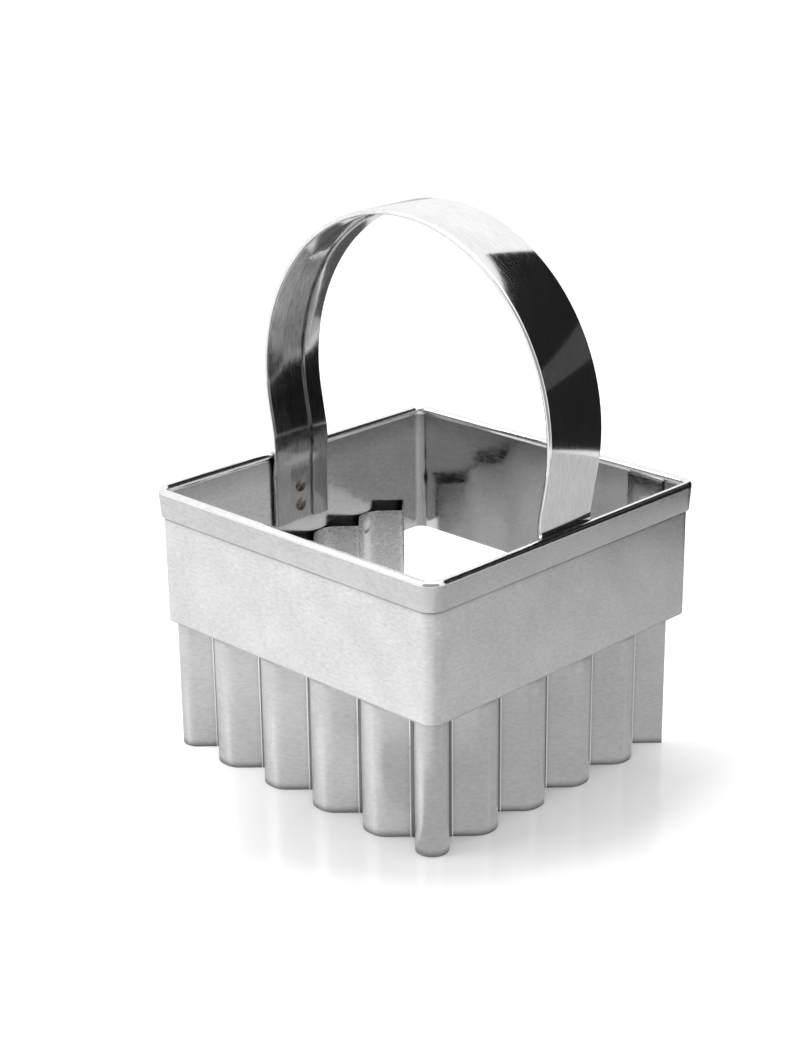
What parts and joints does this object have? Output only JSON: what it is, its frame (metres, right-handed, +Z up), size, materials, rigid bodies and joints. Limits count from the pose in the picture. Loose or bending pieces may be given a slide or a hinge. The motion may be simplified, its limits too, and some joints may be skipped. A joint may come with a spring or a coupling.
{
  "type": "pastry cutter",
  "caption": "Square pastry cutter of thin steel: a rolled-edge collar, a fluted cutting strip below it and a bail handle over the top.",
  "frame": {"origin": "centre of the square at the level of the cutting edge", "axes": "+Z up, from the cutting edge towards the handle; the handle spans X, and the back wall that has no fluted strip lies at +Y"},
  "size_m": [0.0618, 0.0614, 0.089],
  "materials": {
    "collar_steel": "fine satin grain on the outer walls, bright on the roll and inside",
    "blade_steel": "satin",
    "strap_steel": "polished",
    "weld_steel": "pressed and lightly heat-tinted"
  },
  "bodies": {
    "root": {"collar_band": "collar_steel", "fluted_blade": "blade_steel", "handle_strap": "strap_steel", "handle_foot_welds": "weld_steel", "blade_welds": "weld_steel", "collar_seam_welds": "weld_steel"}
  },
  "joints": []
}
